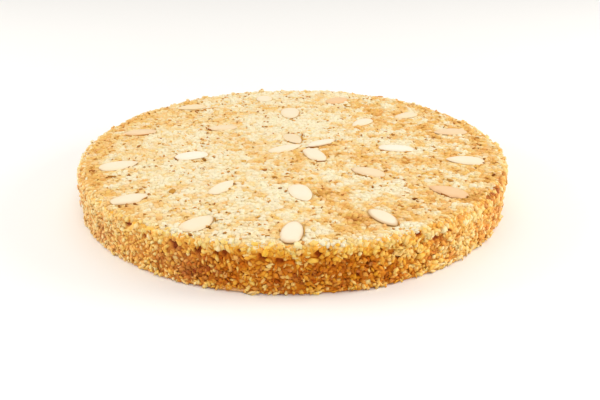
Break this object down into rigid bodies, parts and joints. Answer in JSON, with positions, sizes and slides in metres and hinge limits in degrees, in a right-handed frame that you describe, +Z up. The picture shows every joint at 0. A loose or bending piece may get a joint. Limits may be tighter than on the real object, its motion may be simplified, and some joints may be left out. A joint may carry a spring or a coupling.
{
  "type": "almond tea cake",
  "caption": "Whole round flat almond tea cake with a chopped-almond crust on its side and thin almond slices set in rings and a flower on its top.",
  "frame": {"origin": "middle of the flat base, on the surface that the cake stands on", "axes": "+Z up through the top; -Y faces the viewer of the picture and +X is the viewer's right"},
  "size_m": [0.2398, 0.2398, 0.0274],
  "materials": {
    "baked_crumb": "matt, rough almond crumb, golden at the rim and side",
    "almond_pale": "satin, pale blanched almond",
    "almond_toasted": "satin, lightly toasted almond"
  },
  "bodies": {
    "root": {"cake": "baked_crumb", "almond_slice_01": "almond_toasted", "almond_slice_02": "almond_pale", "almond_slice_03": "almond_pale", "almond_slice_04": "almond_pale", "almond_slice_05": "almond_pale", "almond_slice_06": "almond_toasted", "almond_slice_07": "almond_pale", "almond_slice_08": "almond_pale", "almond_slice_09": "almond_pale", "almond_slice_10": "almond_toasted", "almond_slice_11": "almond_pale", "almond_slice_12": "almond_pale", "almond_slice_13": "almond_pale", "almond_slice_14": "almond_pale", "almond_slice_15": "almond_toasted", "almond_slice_16": "almond_pale", "almond_slice_17": "almond_toasted", "almond_slice_18": "almond_pale", "almond_slice_19": "almond_toasted", "almond_slice_20": "almond_pale", "almond_slice_21": "almond_pale", "almond_slice_22": "almond_toasted", "almond_slice_23": "almond_pale", "almond_slice_24": "almond_pale", "almond_slice_25": "almond_pale"}
  },
  "joints": []
}
